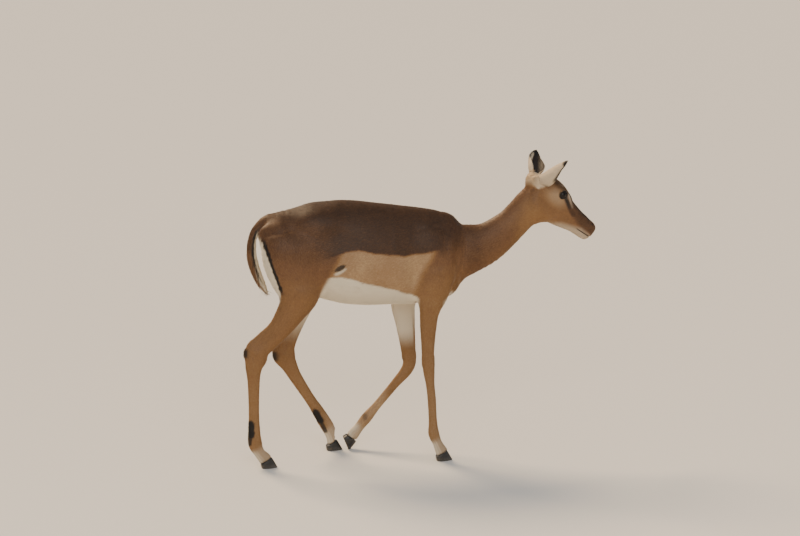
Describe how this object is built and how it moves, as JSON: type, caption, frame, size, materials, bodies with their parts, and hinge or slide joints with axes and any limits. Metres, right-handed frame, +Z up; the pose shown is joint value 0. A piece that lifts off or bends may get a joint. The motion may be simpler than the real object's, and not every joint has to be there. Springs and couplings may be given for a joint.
{
  "type": "impala antelope",
  "caption": "Life-size hornless impala ewe walking, with one fore foot about to leave the ground; a still display model.",
  "frame": {"origin": "middle of the box round the animal, at the level of its soles", "axes": "+X forward, the way the animal walks; +Y to its left; +Z up"},
  "size_m": [1.2202, 0.2843, 1.0345],
  "materials": {
    "coat": "short flat hair, reddish brown above, tan on the flank, white below",
    "ear": "thin ear with short pale hair and a black tip",
    "hoof": "black horn, dull and a little worn",
    "eye": "dark wet eye"
  },
  "bodies": {
    "root": {"trunk": "coat", "neck": "coat", "head": "coat", "tail": "coat", "ear_right": "ear", "ear_left": "ear", "eye_right": "eye", "eye_left": "eye", "hind_right_upper": "coat", "hind_right_lower": "coat", "hoof_hind_right_outer": "hoof", "hoof_hind_right_inner": "hoof", "hind_left_upper": "coat", "hind_left_lower": "coat", "hoof_hind_left_outer": "hoof", "hoof_hind_left_inner": "hoof", "fore_right_upper": "coat", "fore_right_lower": "coat", "hoof_fore_right_outer": "hoof", "hoof_fore_right_inner": "hoof", "fore_left_upper": "coat", "fore_left_lower": "coat", "hoof_fore_left_outer": "hoof", "hoof_fore_left_inner": "hoof"}
  },
  "joints": []
}
